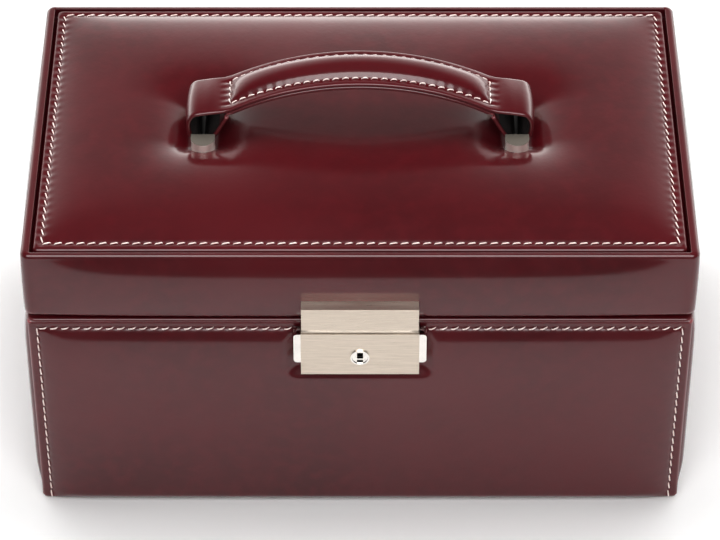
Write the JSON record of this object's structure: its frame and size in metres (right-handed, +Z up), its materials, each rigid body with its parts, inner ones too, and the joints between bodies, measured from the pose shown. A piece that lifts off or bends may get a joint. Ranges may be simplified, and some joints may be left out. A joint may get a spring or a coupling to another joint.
{
  "type": "leather jewellery case",
  "caption": "Leather-covered jewellery case with a hinged padded lid, carrying handle, push-button key lock, lift-out tray and divided base.",
  "frame": {"origin": "centre of the flat underside, on the surface the case stands on", "axes": "+Z up; -Y towards the lock (front); +X to the right seen from the front, along the case's longest side"},
  "size_m": [0.268, 0.1676, 0.1711],
  "materials": {
    "case_leather": "smooth, glossy, burgundy",
    "handle_leather": "smooth, glossy, burgundy, stitched",
    "tray_leather": "smooth, satin, burgundy",
    "carcass_board": "raw fibreboard",
    "lining_fabric": "brushed suede-like, cream",
    "roll_fabric": "brushed suede-like, cream",
    "mirror_glass": "polished",
    "brushed_nickel": "fine brushed, warm nickel",
    "polished_nickel": "polished nickel",
    "hinge_brass": "satin",
    "spring_steel": "bright drawn",
    "filler_foam": "felted cord"
  },
  "bodies": {
    "base": {"base_core": "carcass_board", "base_cover": "case_leather", "side_cover_left": "case_leather", "side_cover_right": "case_leather", "base_rim_binding": "case_leather", "base_lining": "lining_fabric", "tray_ledges": "lining_fabric", "divider_long": "lining_fabric", "dividers_short": "lining_fabric", "hinge_leaf_base": "hinge_brass", "hinge_pin": "spring_steel", "hinge_screws_base": "hinge_brass", "lock_housing": "brushed_nickel", "lock_back_plate": "brushed_nickel", "lock_screws": "spring_steel", "lock_barrel": "polished_nickel", "lock_spring_left": "spring_steel", "lock_spring_right": "spring_steel"},
    "lid": {"lid_core": "carcass_board", "lid_band": "case_leather", "lid_panel_board": "carcass_board", "lid_top_panel": "case_leather", "lid_lining": "lining_fabric", "mirror_frame": "lining_fabric", "lid_mirror": "mirror_glass", "hinge_leaf_lid": "hinge_brass", "hinge_screws_lid": "hinge_brass", "lock_hasp": "brushed_nickel", "hasp_screws": "spring_steel", "handle_pin_left": "polished_nickel", "handle_pin_right": "polished_nickel", "handle_post_front_left": "polished_nickel", "handle_post_front_right": "polished_nickel", "handle_post_rear_left": "polished_nickel", "handle_post_rear_right": "polished_nickel", "handle_washers": "spring_steel", "handle_screws": "spring_steel"},
    "handle": {"handle_strap": "handle_leather", "handle_filler": "filler_foam"},
    "lock_plug": {"lock_plug": "polished_nickel", "lock_cam": "spring_steel", "lock_cam_clip": "spring_steel"},
    "button_left": {"lock_button_left": "polished_nickel", "latch_slide_left": "spring_steel"},
    "button_right": {"lock_button_right": "polished_nickel", "latch_slide_right": "spring_steel"},
    "tray": {"tray_shell": "tray_leather", "tray_lining": "lining_fabric", "tray_dividers": "lining_fabric", "ring_rolls": "roll_fabric", "tray_pulls": "tray_leather"}
  },
  "joints": [
    {"name": "lid_hinge", "type": "hinge", "parent": "base", "child": "lid", "pos_m": [0, 0.0775, 0.10435], "axis": [-1, 0, 0], "range_deg": [0, 98]},
    {"name": "button_left_press", "type": "slide", "parent": "base", "child": "button_left", "axis": [1, 0, 0], "range_m": [0, 0.0023], "stiffness_N_per_m": 300, "springref_m": -0.003, "deforming": ["lock_spring_left"]},
    {"name": "button_right_press", "type": "slide", "parent": "base", "child": "button_right", "axis": [-1, 0, 0], "range_m": [0, 0.0023], "stiffness_N_per_m": 300, "springref_m": -0.003, "deforming": ["lock_spring_right"]},
    {"name": "key_turn", "type": "hinge", "parent": "base", "child": "lock_plug", "pos_m": [0, -0.0848, 0.0895], "axis": [0, 1, 0], "range_deg": [0, 90]},
    {"name": "handle_lift", "type": "slide", "parent": "lid", "child": "handle", "axis": [0, 0, 1], "range_m": [0, 0.0015]},
    {"name": "tray_lift", "type": "slide", "parent": "base", "child": "tray", "axis": [0, 0, 1], "range_m": [0, 0.015]}
  ]
}
